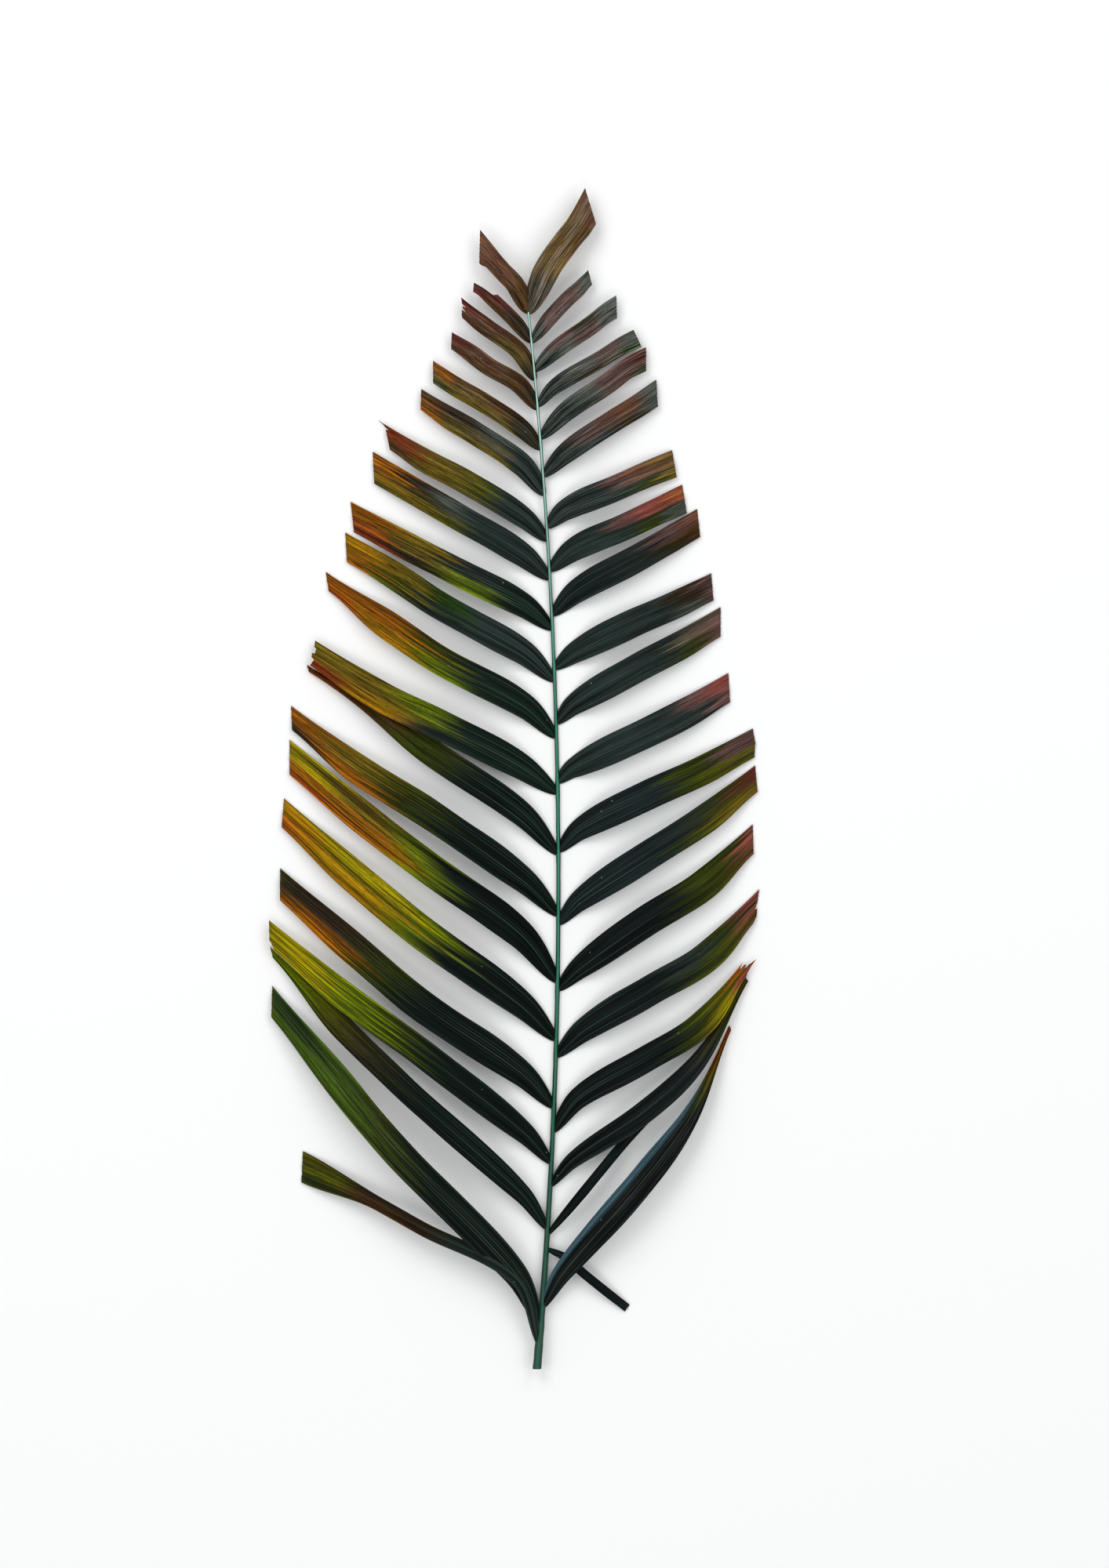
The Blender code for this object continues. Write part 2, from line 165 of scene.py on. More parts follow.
# Each leaflet on the plan: its root's row on the stalk, three points of its middle line, the upper and lower
# corner of its cut; its width and the height of its end in mm; where its tones change along it; and its
# four tones from the root to the cut, in its upper and its lower half
leftLeaflets = [
    dict(root=401, middle=((658, 367), (640, 347), (626, 331)), cut=((612, 294), (611, 337)),
         widthMm=14.5, endMm=9.0, stops=(0.15, 0.45, 0.8),
         upper="brown brown clay clay", lower="brown brown clay clay"),
    dict(root=438, middle=((658, 413), (632, 387), (616, 373)), cut=((603, 356), (603, 373)),
         widthMm=11.0, endMm=7.0, stops=(0.15, 0.45, 0.8),
         upper="umber umber maroon maroon", lower="umber brown brown maroon"),
    dict(root=486, middle=((662, 450), (621, 419), (604, 406)), cut=((588, 380), (589, 406)),
         widthMm=13.5, endMm=6.0, stops=(0.15, 0.5, 0.82),
         upper="umber brown clay maroon", lower="umber khaki brown clay"),
    dict(root=523, middle=((662, 492), (624, 469), (600, 451)), cut=((576, 424), (575, 446)),
         widthMm=14.0, endMm=5.0, stops=(0.2, 0.5, 0.85),
         upper="umber brown clay maroon", lower="brown brown brown clay"),
    dict(root=574, middle=((665, 547), (614, 513), (583, 495)), cut=((552, 460), (552, 489)),
         widthMm=15.0, endMm=4.0, stops=(0.3, 0.5, 0.82),
         upper="umber brown tan amber", lower="umber khaki khaki moss"),
    dict(root=632, middle=((666, 594), (604, 552), (570, 532)), cut=((537, 496), (536, 523)),
         widthMm=18.0, endMm=3.0, stops=(0.35, 0.6, 0.85),
         upper="slate ash umber brown", lower="slate khaki khaki amber"),
    dict(root=690, middle=((668, 661), (595, 616), (540, 587)), cut=((490, 541), (497, 574)),
         widthMm=18.5, endMm=2.0, stops=(0.4, 0.55, 0.82),
         upper="slate olive khaki rust", lower="slate olive khaki brown"),
    dict(root=739, middle=((665, 707), (583, 659), (530, 628)), cut=((475, 576), (477, 617)),
         widthMm=20.5, endMm=1.0, stops=(0.5, 0.65, 0.82),
         upper="slate ash umber amber", lower="slate olive khaki khaki"),
    dict(root=803, middle=((667, 772), (575, 726), (510, 692)), cut=((447, 640), (451, 679)),
         widthMm=21.5, endMm=0.0, stops=(0.32, 0.55, 0.82),
         upper="pine slate khaki amber", lower="pine lime umber rust"),
    dict(root=869, middle=((667, 832), (565, 775), (503, 734)), cut=((440, 679), (442, 717)),
         widthMm=21.5, endMm=0.0, stops=(0.45, 0.65, 0.85),
         upper="slate fern khaki gold", lower="slate slate olive amber"),
    dict(root=941, middle=((668, 900), (564, 844), (482, 789)), cut=((415, 729), (419, 754)),
         widthMm=22.0, endMm=0.0, stops=(0.42, 0.6, 0.85),
         upper="pine olive amber amber", lower="pine lime gold orange"),
    dict(root=1012, middle=((660, 975), (560, 924), (480, 885)), cut=((402, 817), (394, 848)),
         widthMm=23.0, endMm=5.0, stops=(0.46, 0.62, 0.86),
         upper="pine lime khaki khaki", lower="pine slate gold rust"),
    dict(root=1090, middle=((664, 1037), (555, 963), (470, 901)), cut=((391, 848), (394, 857)),
         widthMm=21.0, endMm=0.0, stops=(0.42, 0.65, 0.85),
         upper="yew moss brown brown", lower="yew moss brown orange"),
    dict(root=1168, middle=((667, 1122), (545, 1036), (455, 980)), cut=((371, 900), (372, 931)),
         widthMm=23.0, endMm=0.0, stops=(0.46, 0.64, 0.87),
         upper="yew moss khaki amber", lower="yew moss amber umber"),
    dict(root=1253, middle=((662, 1190), (539, 1101), (452, 1034)), cut=((369, 943), (369, 988)),
         widthMm=24.5, endMm=0.0, stops=(0.46, 0.58, 0.85),
         upper="yew lime khaki yellow", lower="yew lime amber orange"),
    dict(root=1327, middle=((664, 1280), (535, 1186), (445, 1112)), cut=((362, 1018), (359, 1055)),
         widthMm=25.0, endMm=0.0, stops=(0.42, 0.54, 0.88),
         upper="yew lime yellow gold", lower="yew lime gold orange"),
    dict(root=1413, middle=((664, 1368), (535, 1279), (440, 1200)), cut=((357, 1107), (357, 1148)),
         widthMm=24.0, endMm=2.0, stops=(0.54, 0.68, 0.92),
         upper="yew moss umber bark", lower="yew moss amber brown"),
    dict(root=1484, middle=((668, 1444), (540, 1343), (440, 1270)), cut=((343, 1173), (344, 1207)),
         widthMm=21.5, endMm=5.0, stops=(0.5, 0.62, 0.8),
         upper="yew moss lime yellow", lower="yew moss lime yellow"),
    dict(root=1568, middle=((665, 1521), (515, 1385), (430, 1303)), cut=((344, 1207), (348, 1221)),
         widthMm=18.5, endMm=0.0, stops=(0.58, 0.74, 0.88),
         upper="yew bark olive lime", lower="yew bark olive lime"),
    dict(root=1690, middle=((655, 1620), (500, 1460), (423, 1368)), cut=((347, 1257), (346, 1297)),
         widthMm=23.0, endMm=2.0, stops=(0.54, 0.66, 0.84),
         upper="yew moss grass fern", lower="yew moss grass grass"),
    dict(root=1715, middle=((659, 1629), (541, 1566), (461, 1523)), cut=((386, 1468), (384, 1508)),
         widthMm=10.5, endMm=0.0, stops=(0.5, 0.64, 0.84),
         upper="slate umber umber olive", lower="slate umber brown moss"),
]
rightLeaflets = [
    dict(root=402, middle=((696, 349), (721, 312), (739, 289)), cut=((746, 241), (760, 287)),
         widthMm=20.0, endMm=10.0, stops=(0.35, 0.6, 0.9),
         upper="taupe tan tan clay", lower="taupe tan brown clay"),
    dict(root=438, middle=((699, 410), (724, 383), (739, 369)), cut=((750, 345), (755, 364)),
         widthMm=12.0, endMm=7.0, stops=(0.2, 0.5, 0.8),
         upper="ash mauve mauve ash", lower="slate mauve mauve ash"),
    dict(root=474, middle=((706, 450), (752, 417), (771, 402)), cut=((786, 377), (787, 407)),
         widthMm=14.5, endMm=6.0, stops=(0.25, 0.5, 0.8),
         upper="ash mauve umber ash", lower="slate ash mauve ash"),
    dict(root=519, middle=((708, 494), (765, 460), (790, 444)), cut=((808, 421), (818, 443)),
         widthMm=13.5, endMm=5.0, stops=(0.35, 0.6, 0.85),
         upper="slate ash mauve ash", lower="slate umber umber fern"),
    dict(root=560, middle=((721, 527), (775, 490), (800, 471)), cut=((824, 443), (824, 474)),
         widthMm=16.0, endMm=4.0, stops=(0.35, 0.6, 0.88),
         upper="slate ash mauve maroon", lower="slate slate mauve fern"),
    dict(root=608, middle=((721, 579), (783, 537), (811, 520)), cut=((837, 484), (839, 519)),
         widthMm=17.5, endMm=3.0, stops=(0.35, 0.6, 0.88),
         upper="slate mauve clay ash", lower="slate slate umber ash"),
    dict(root=673, middle=((721, 651), (783, 624), (824, 606)), cut=((857, 574), (863, 609)),
         widthMm=20.0, endMm=2.0, stops=(0.52, 0.68, 0.88),
         upper="slate mauve clay tan", lower="slate slate moss khaki"),
    dict(root=728, middle=((732, 701), (793, 674), (836, 654)), cut=((870, 618), (876, 655)),
         widthMm=20.5, endMm=1.0, stops=(0.5, 0.66, 0.88),
         upper="slate mauve rose sienna", lower="slate slate moss ash"),
    dict(root=785, middle=((736, 754), (804, 717), (850, 691)), cut=((889, 649), (893, 685)),
         widthMm=21.0, endMm=0.0, stops=(0.45, 0.7, 0.9),
         upper="night slate mauve clay", lower="night slate bark brown"),
    dict(root=853, middle=((734, 832), (803, 797), (858, 773)), cut=((907, 731), (910, 766)),
         widthMm=21.5, endMm=0.0, stops=(0.5, 0.75, 0.92),
         upper="slate slate umber mauve", lower="slate slate ash mauve"),
    dict(root=923, middle=((733, 898), (813, 852), (868, 823)), cut=((919, 774), (919, 812)),
         widthMm=22.0, endMm=0.0, stops=(0.5, 0.75, 0.92),
         upper="slate slate taupe mauve", lower="slate slate moss mauve"),
    dict(root=998, middle=((731, 980), (824, 935), (879, 907)), cut=((929, 858), (931, 896)),
         widthMm=23.0, endMm=0.0, stops=(0.5, 0.75, 0.9),
         upper="slate slate mauve rose", lower="slate slate slate mauve"),
    dict(root=1086, middle=((741, 1057), (824, 1015), (895, 983)), cut=((960, 929), (962, 966)),
         widthMm=22.5, endMm=0.0, stops=(0.6, 0.72, 0.84),
         upper="night moss moss mauve", lower="night moss olive olive"),
    dict(root=1179, middle=((740, 1148), (824, 1092), (895, 1047)), cut=((963, 976), (966, 1010)),
         widthMm=22.5, endMm=0.0, stops=(0.6, 0.76, 0.92),
         upper="night slate moss maroon", lower="night moss khaki khaki"),
    dict(root=1263, middle=((741, 1233), (824, 1174), (895, 1130)), cut=((960, 1051), (961, 1089)),
         widthMm=23.5, endMm=0.0, stops=(0.6, 0.76, 0.9),
         upper="ink moss moss rose", lower="ink moss olive clay"),
    dict(root=1348, middle=((745, 1313), (830, 1262), (900, 1221)), cut=((967, 1135), (965, 1173)),
         widthMm=23.0, endMm=0.0, stops=(0.58, 0.76, 0.93),
         upper="ink slate moss rose", lower="ink moss olive clay"),
    dict(root=1444, middle=((739, 1399), (825, 1349), (893, 1307)), cut=((944, 1231), (955, 1241)),
         widthMm=20.0, endMm=3.0, stops=(0.64, 0.78, 0.93),
         upper="ink moss olive orange", lower="ink moss yellow rose"),
    dict(root=1513, middle=((731, 1479), (819, 1419), (890, 1353)), cut=((950, 1246), (954, 1251)),
         widthMm=17.0, endMm=1.0, stops=(0.5, 0.74, 0.9),
         upper="ink ink umber olive", lower="ink night moss olive"),
    dict(root=1575, middle=((735, 1530), (767, 1491), (800, 1452)), cut=((838, 1405), (846, 1412)),
         widthMm=7.5, endMm=0.0, stops=(0.4, 0.7, 0.9),
         upper="ink night slate moss", lower="ink night slate moss"),
    dict(root=1592, middle=((722, 1604), (745, 1624), (773, 1647)), cut=((803, 1664), (797, 1673)),
         widthMm=7.0, endMm=0.0, stops=(0.4, 0.7, 0.9),
         upper="night night night slate", lower="night night night slate"),
    # its upper band takes a pale blue painted highlight
    dict(root=1668, middle=((718, 1621), (815, 1508), (883, 1417)), cut=((930, 1308), (932, 1313)),
         widthMm=21.0, endMm=0.0, stops=(0.3, 0.82, 0.92),
         upper="sheen sheen olive orange", lower="ink ink olive orange"),
]

# Ends that aren't cut straight: (place across, mm short of the cut), from the upper edge to the lower
splitEnds = dict(
    left2=((-1.0, 19), (-0.5, 17), (-0.46, 1), (1.0, 0)),
    left3=((-1.0, 0), (-0.3, 0.5), (-0.22, 6), (-0.15, 1), (0.15, 1), (0.22, 5), (0.3, 0), (1.0, 0)),
    left7=((-1.0, -6), (-0.88, -2), (-0.7, 1), (-0.6, 3), (-0.5, 0), (1.0, 0)),
    left12=((-1.0, 0), (-0.55, 0.5), (-0.5, 2.5), (-0.1, 2.5), (-0.05, 0), (0.3, 0.5), (0.34, 3), (1.0, 1)),
    left18=((-1.0, 0), (0.55, 0), (0.65, 2), (1.0, 5)),
    right13=((-1.0, 0), (0.0, -1.5), (1.0, 0)),
    right16=((-1.0, -1), (-0.2, 0.5), (0.05, 3), (0.2, 0), (0.7, 0.5), (1.0, 4)),
    right17=(
        (-1.0, -3), (-0.7, 1), (-0.5, 3), (-0.45, -3), (-0.1, -3), (-0.05, 2), (0.2, -5), (0.55, -12),
        (0.7, 0), (1.0, 4),
    ),
)
# Leaflets near the base that get painted highlight streaks as well, from 0 to 1
paintedGlossLeaflets = dict(right21=0.3, right18=0.2, left20=0.15)
# Leaflets whose upper and lower tones meet at a sharp fold: its place across; on right21 it keeps a pale
# blue painted highlight to a narrow band by the upper edge
foldedLeaflets = dict(right7=0.12, right8=0.05, right9=0.12, right21=-0.55)


def curveThrough(points):
    # a smooth curve through plan points, as a function of the length's share, and its length
    knots = [0.0]
    for here, after in zip(points, points[1:]):
        knots.append(knots[-1] + math.dist(here, after))

    def slope(at, part):
        low = max(0, at - 1)
        high = min(len(points) - 1, at + 1)
        return (points[high][part] - points[low][part]) / (knots[high] - knots[low])

    def place(share):
        distance = share * knots[-1]
        span = 0
        while span < len(points) - 2 and distance > knots[span + 1]:
            span += 1
        gap = knots[span + 1] - knots[span]
        inGap = (distance - knots[span]) / gap
        found = []
        for part in (0, 1):
            start, end = points[span][part], points[span + 1][part]
            leave, arrive = slope(span, part) * gap, slope(span + 1, part) * gap
            if inGap > 1.0:     # a prong past the cut runs straight on
                found.append(end + arrive * (inGap - 1.0))
                continue
            bend = (1.0 - inGap) * (leave - (end - start)) + inGap * ((end - start) - arrive)
            found.append(between(start, end, inGap) + inGap * (1.0 - inGap) * bend)
        return found

    return place, knots[-1]


def pleatHeight(across):
    # a ridge in the middle and a valley on each side, and fine ribs over the whole blade
    quarter = abs(across) * 2.0
    rib = blade["ribHeight"] * abs(math.sin(0.5 * math.pi * blade["ribs"] * (across + 1.0)))
    if quarter < 1.0:
        return between(blade["pleatHigh"], blade["pleatLow"], quarter) + rib
    return between(blade["pleatLow"], 0.0, quarter - 1.0) + rib


def makeBladeBlank():
    # a flat strip: X is the place across, -1 at the upper edge and 1 at the lower; Y is the length's share
    bpy.ops.object.select_all(action="DESELECT")
    bpy.ops.mesh.primitive_grid_add(
        x_subdivisions=blade["columns"], y_subdivisions=blade["rows"], size=1.0, location=(0.0, 0.5, 0.0),
        calc_uvs=False)
    blank = bpy.context.object
    blank.name = "bladeBlank"
    bpy.ops.object.mode_set(mode="EDIT")
    bpy.ops.transform.resize(value=(2.0, 1.0, 1.0), center_override=(0.0, 0.5, 0.0))
    bpy.ops.object.mode_set(mode="OBJECT")
    bpy.ops.object.transform_apply(location=True, rotation=True, scale=True)
    columns = sorted({round(vertex.co.x, 4) for vertex in blank.data.vertices})
    bpy.context.tool_settings.mesh_select_mode = (True, False, False)
    for across in columns:
        bpy.ops.object.mode_set(mode="EDIT")
        bpy.ops.mesh.select_all(action="DESELECT")
        bpy.ops.object.mode_set(mode="OBJECT")
        for vertex in blank.data.vertices:
            vertex.select = abs(vertex.co.x - across) < 0.001
        bpy.ops.object.mode_set(mode="EDIT")
        bpy.ops.transform.translate(value=(0.0, 0.0, pleatHeight(across)))
        bpy.ops.object.mode_set(mode="OBJECT")
    return blank


def profileAt(profile, across):
    for (left, leftValue), (right, rightValue) in zip(profile, profile[1:]):
        if across <= right:
            return between(leftValue, rightValue, (across - left) / (right - left))
    return profile[-1][1]


def drawTraits(side, number, rootRow):
    # what sets one leaflet apart, drawn in a fixed order, so that it comes out the same each time
    key = f"{side}{number}"
    dice = random.Random(key)
    ribs = range(blade["ribs"])
    traits = dict(dice=dice, side=side, profile=splitEnds.get(key), foldAt=foldedLeaflets.get(key))
    traits["seed"] = dice.random()
    traits["depth"] = dice.uniform(*blade["depthRange"])
    traits["shift"] = dice.uniform(-1.0, 1.0) * blade["lineShift"]
    traits["ribLight"] = [dice.uniform(*blade["ribLight"]) for rib in ribs]
    traits["ribStop"] = [dice.uniform(-blade["ribStop"], blade["ribStop"]) for rib in ribs]
    traits["ribMix"] = [dice.uniform(-blade["ribMix"], blade["ribMix"]) for rib in ribs]
    creases = dict(blade["steadyCreases"])
    for extra in range(blade["extraCreases"]):
        creases[dice.randrange(1, blade["ribs"])] = dice.uniform(*blade["creaseRange"])
    # how strongly each rib top takes the painted highlight
    traits["ridges"] = [dice.uniform(*blade["ridgeRange"]) ** blade["ridgePower"] for rib in ribs]
    traits["ridges"][blade["ribs"] // 2] = 1.0
    if traits["foldAt"] is not None:
        creases[round(ribPlaceAt(traits["foldAt"]))] = 1.0
    traits["creases"] = creases
    # a leaflet's shine is how much painted highlight its ribs and hairs get
    tipPaintedGloss = blade["tipPaintedGloss"][side] * (1.0 - smoothStep(*blade["tipPaintedGlossRows"], rootRow))
    traits["shine"] = max(tipPaintedGloss, paintedGlossLeaflets.get(key, 0.0))
    return traits


def ribPlaceAt(across):
    # the place across, counted in ribs from the upper edge
    return (across + 1.0) * 0.5 * blade["ribs"]


def creaseAt(traits, across, sharpness):
    # 1 along the middle of the deepest crease, less to both sides of it, and 0 away from any
    ribPlace = ribPlaceAt(across)
    valley = round(ribPlace)
    return traits["creases"].get(valley, 0.0) * max(0.0, 1.0 - abs(ribPlace - valley) * sharpness)


def drawTooth(traits, across):
    # how far short of the cut one column of the blade ends, or past it where less than 0
    tooth = traits["dice"].uniform(0.0, 1.0) ** 2 * blade["teeth"]
    if traits["profile"]:
        tooth += profileAt(traits["profile"], across) * mm
    return tooth


def bladeWidth(traits, fullWidth, length, along, across):
    leftToFull = 1.0 - min(1.0, along / blade["wideningLength"][traits["side"]])
    width = between(blade["rootWidth"], fullWidth, (1.0 - leftToFull ** 2) ** blade["wideningPower"])
    edge = blade["edgesApart"] if across > 0 else -blade["edgesApart"]
    onEdge = Vector((along * length / blade["edgeWaveLength"], traits["seed"] * blade["edgeSeed"], edge))
    wave = blade["edgeWave"] * noise.noise(onEdge) * smoothStep(*blade["edgeWaveFull"], along)
    return width * (1.0 + wave)


def acrossDirection(traits, place, along):
    # one unit across the blade, towards its lower edge
    before = place(along - blade["directionStep"])
    after = place(min(1.0, along + blade["directionStep"]))
    step = math.dist(before, after)
    turn = -1.0 if traits["side"] == "left" else 1.0
    return turn * (after[1] - before[1]) / step, -turn * (after[0] - before[0]) / step


def bladeHeight(traits, width, length, along, line, lifted):
    # how far the blade rises over the plain curve from its root to its end
    fold = blade["fold"] * (1.0 - smoothStep(0.0, blade["foldLength"], along))
    slope = between(blade["slope"], blade["slopeAtTip"], along)
    slope *= smoothStep(0.0, blade["slopeFull"], along)
    relief = 0.5 * width * (slope * line - fold * abs(line))
    relief += lifted * smoothStep(0.0, blade["pleatsFull"], along)
    arch = blade["archPerLength"] * length * math.sin(math.pi * min(1.0, along) ** blade["archSkew"])
    alongRipples, acrossRipples = along * length / blade["rippleLength"], line * blade["rippleAcross"]
    onRipples = Vector((alongRipples, acrossRipples, traits["seed"] * blade["rippleSeed"]))
    ripple = noise.noise(onRipples) * blade["ripple"] * smoothStep(*blade["rippleFull"], along)
    return arch + relief + ripple


def layLeaflet(blank, side, number, row):
    # copies the blank and bends the copy along one leaflet's curve
    traits = drawTraits(side, number, row["root"])
    rootY = rowToY(row["root"])
    upper, lower = onPlan(row["cut"][0]), onPlan(row["cut"][1])
    tip = (0.5 * (upper[0] + lower[0]), 0.5 * (upper[1] + lower[1]))
    halfCut = (0.5 * (lower[0] - upper[0]), 0.5 * (lower[1] - upper[1]))
    middle = [onPlan(point) for point in row["middle"]]
    place, length = curveThrough([(stalkX(rootY), rootY), *middle, tip])
    fullWidth = row["widthMm"] * mm
    pointed = math.hypot(*halfCut) < 0.5 * blade["pointedShare"] * fullWidth
    blendStart = blade["pointedBlendStart"] if pointed else blade["cutBlendStart"]
    rootZ = stalkUnderside(rootY) + blade["rootDepth"] * stalkWidth(rootY) + 0.5 * blade["solidThickness"]
    tipZ = blade["solidThickness"] + row["endMm"] * mm

    data = blank.data.copy()
    points, places, toothOf = [], [], {}
    for vertex in data.vertices:
        across, share, lift = vertex.co
        column = round((across + 1.0) * 0.5 * blade["columns"])
        if column not in toothOf:
            toothOf[column] = drawTooth(traits, across)
        along = share ** blade["rootPacking"]
        along -= toothOf[column] / length * smoothStep(1.0 - blade["toothReach"], 1.0, share)
        line = across + traits["shift"] * math.cos(0.5 * math.pi * across)
        x, y = place(along)
        acrossX, acrossY = acrossDirection(traits, place, along)
        width = bladeWidth(traits, fullWidth, length, along, across)
        toCut = smoothStep(blendStart, 1.0, along)
        halfX = between(0.5 * width * acrossX, halfCut[0], toCut)
        halfY = between(0.5 * width * acrossY, halfCut[1], toCut)
        crease = blade["creaseDepth"] * creaseAt(traits, across, blade["creaseSharpness"])
        lifted = lift * traits["depth"] - crease
        z = between(rootZ, tipZ, along * along) + bladeHeight(traits, width, length, along, line, lifted)
        z = max(z, blade["solidThickness"] + blade["clearance"] + lifted * 0.5)
        points.append((x + line * halfX, y + line * halfY, z))
        places.append((along, across, traits["seed"]))
    moveVertices(data, points)
    if side == "left":
        data.flip_normals()
    paintLeaflet(data, places, traits, row)
    leaflet = bpy.data.objects.new(f"{side}Leaflet{number}", data)
    bpy.context.scene.collection.objects.link(leaflet)
    return leaflet


def toneShare(across, ribMix, foldAt):
    # 0 over the upper part of a leaflet and 1 along its lower edge, with a sharp change at a fold
    if foldAt is not None:
        soft = blade["foldSoftness"]
        return smoothStep(-soft, soft, across + soft * ribMix - foldAt)
    return smoothStep(*blade["tonesMeet"], across + ribMix)


def toneOf(word):
    return Vector(linearColour(*tones[word]))


def paintLeaflet(data, places, traits, row):
    # tones, their borders, marks of painted crease shade and painted rib highlight, and the amount of
    # painted highlight with the vividness at each vertex; a third value of 0.0 is spare
    upperTones = [toneOf(word) for word in row["upper"].split()]
    lowerTones = [toneOf(word) for word in row["lower"].split()]
    toneSets = [[] for tone in upperTones]
    borders, marks = [], []
    for along, across, seed in places:
        ribPlace = ribPlaceAt(across)
        rib = min(blade["ribs"] - 1, int(ribPlace))
        low = toneShare(across, traits["ribMix"][rib], traits["foldAt"])
        for store, upperTone, lowerTone in zip(toneSets, upperTones, lowerTones):
            store.append(upperTone.lerp(lowerTone, low) * traits["ribLight"][rib])
        borders.append([stop + traits["ribStop"][rib] for stop in row["stops"]])
        # the crease line is darkened as painted shade, the rib tops lightened as painted highlight
        crease = creaseAt(traits, across, blade["creaseShadeSharpness"])
        nearTop = max(0.0, 1.0 - abs(ribPlace - rib - 0.5) * blade["ridgeSharpness"])
        marks.append((crease, traits["ridges"][rib] * nearTop, 0.0))
    # the amount of painted highlight, and how vivid the colours are
    style = (traits["shine"], blade["vivid"][traits["side"]], 0.0)
    storeAttribute(data, "leafPlace", places)
    storeAttribute(data, "toneStops", borders)
    storeAttribute(data, "leafMarks", marks)
    storeAttribute(data, "leafStyle", [style] * len(places))
    for name, store in zip(("toneHeart", "toneInner", "toneOuter", "toneEnd"), toneSets):
        storeAttribute(data, name, store)


# Materials: small helpers first
def addNode(tree, kind, **settings):
    made = tree.nodes.new(kind)
    for name, value in settings.items():
        setattr(made, name, value)
    return made


def feed(tree, socket, value):
    if isinstance(value, bpy.types.NodeSocket):
        tree.links.new(value, socket)
    elif value is not None:
        socket.default_value = value


def mathNode(tree, operation, first, second=None, third=None):
    made = addNode(tree, "ShaderNodeMath", operation=operation)
    for socket, value in zip(made.inputs, (first, second, third)):
        feed(tree, socket, value)
    return made.outputs[0]


def times(tree, first, second):
    return mathNode(tree, "MULTIPLY", first, second)


def plus(tree, first, second):
    return mathNode(tree, "ADD", first, second)


def minus(tree, first, second):
    return mathNode(tree, "SUBTRACT", first, second)


def larger(tree, first, second):
    return mathNode(tree, "MAXIMUM", first, second)


def scaled(tree, value, factor, start):
    return mathNode(tree, "MULTIPLY_ADD", value, factor, start)


def unsigned(tree, value):
    return mathNode(tree, "ABSOLUTE", value)


def rampNode(tree, value, low, high, start=0.0, end=1.0):
    # a smooth change from start to end as the value goes from low to high
    made = addNode(tree, "ShaderNodeMapRange", interpolation_type="SMOOTHSTEP")
    given = {"Value": value, "From Min": low, "From Max": high, "To Min": start, "To Max": end}
    for name, setting in given.items():
        feed(tree, made.inputs[name], setting)
    return made.outputs["Result"]


def mixNode(tree, factor, under, over, blendType="MIX"):
    made = addNode(tree, "ShaderNodeMix", data_type="RGBA", blend_type=blendType)
    feed(tree, made.inputs[0], factor)
    feed(tree, made.inputs[6], under)
    feed(tree, made.inputs[7], over)
    return made.outputs[2]


def mixValueNode(tree, factor, under, over):
    made = addNode(tree, "ShaderNodeMix", data_type="FLOAT")
    for socket, value in zip(made.inputs[:1] + made.inputs[2:4], (factor, under, over)):
        feed(tree, socket, value)
    return made.outputs[0]


def multiplyNode(tree, colour, amount):
    grey = addNode(tree, "ShaderNodeCombineXYZ")
    for socket in grey.inputs:
        tree.links.new(amount, socket)
    return mixNode(tree, 1.0, colour, grey.outputs[0], "MULTIPLY")


def attributeNode(tree, name):
    return addNode(tree, "ShaderNodeAttribute", attribute_name=name).outputs["Vector"]


def splitNode(tree, vector):
    made = addNode(tree, "ShaderNodeSeparateXYZ")
    feed(tree, made.inputs[0], vector)
    return made.outputs


def noiseNode(tree, x, y, z, detail):
    joined = addNode(tree, "ShaderNodeCombineXYZ")
    for socket, value in zip(joined.inputs, (x, y, z)):
        feed(tree, socket, value)
    made = addNode(tree, "ShaderNodeTexNoise", noise_dimensions="3D")
    feed(tree, made.inputs["Vector"], joined.outputs[0])
    made.inputs["Scale"].default_value = 1.0
    made.inputs["Detail"].default_value = detail
    made.inputs["Roughness"].default_value = 0.55
    return made.outputs["Fac"]


def shaderColour(colour):
    return (*linearColour(*colour), 1.0)


def startMaterial(name, look):
    material = bpy.data.materials.new(name)
    material.use_nodes = True
    shader = material.node_tree.nodes["Principled BSDF"]
    shader.inputs["Specular IOR Level"].default_value = look["shine"]
    return material, material.node_tree, shader


def finishSurface(tree, shader, look, colour, streak, height):
    feed(tree, shader.inputs["Base Color"], colour)
    feed(tree, shader.inputs["Roughness"], rampNode(tree, streak, 0.3, 0.7, look["glossy"], look["dull"]))
    bump = addNode(tree, "ShaderNodeBump")
    bump.inputs["Strength"].default_value = look["bump"]
    bump.inputs["Distance"].default_value = look["bumpDepth"]
    feed(tree, bump.inputs["Height"], height)
    feed(tree, shader.inputs["Normal"], bump.outputs[0])


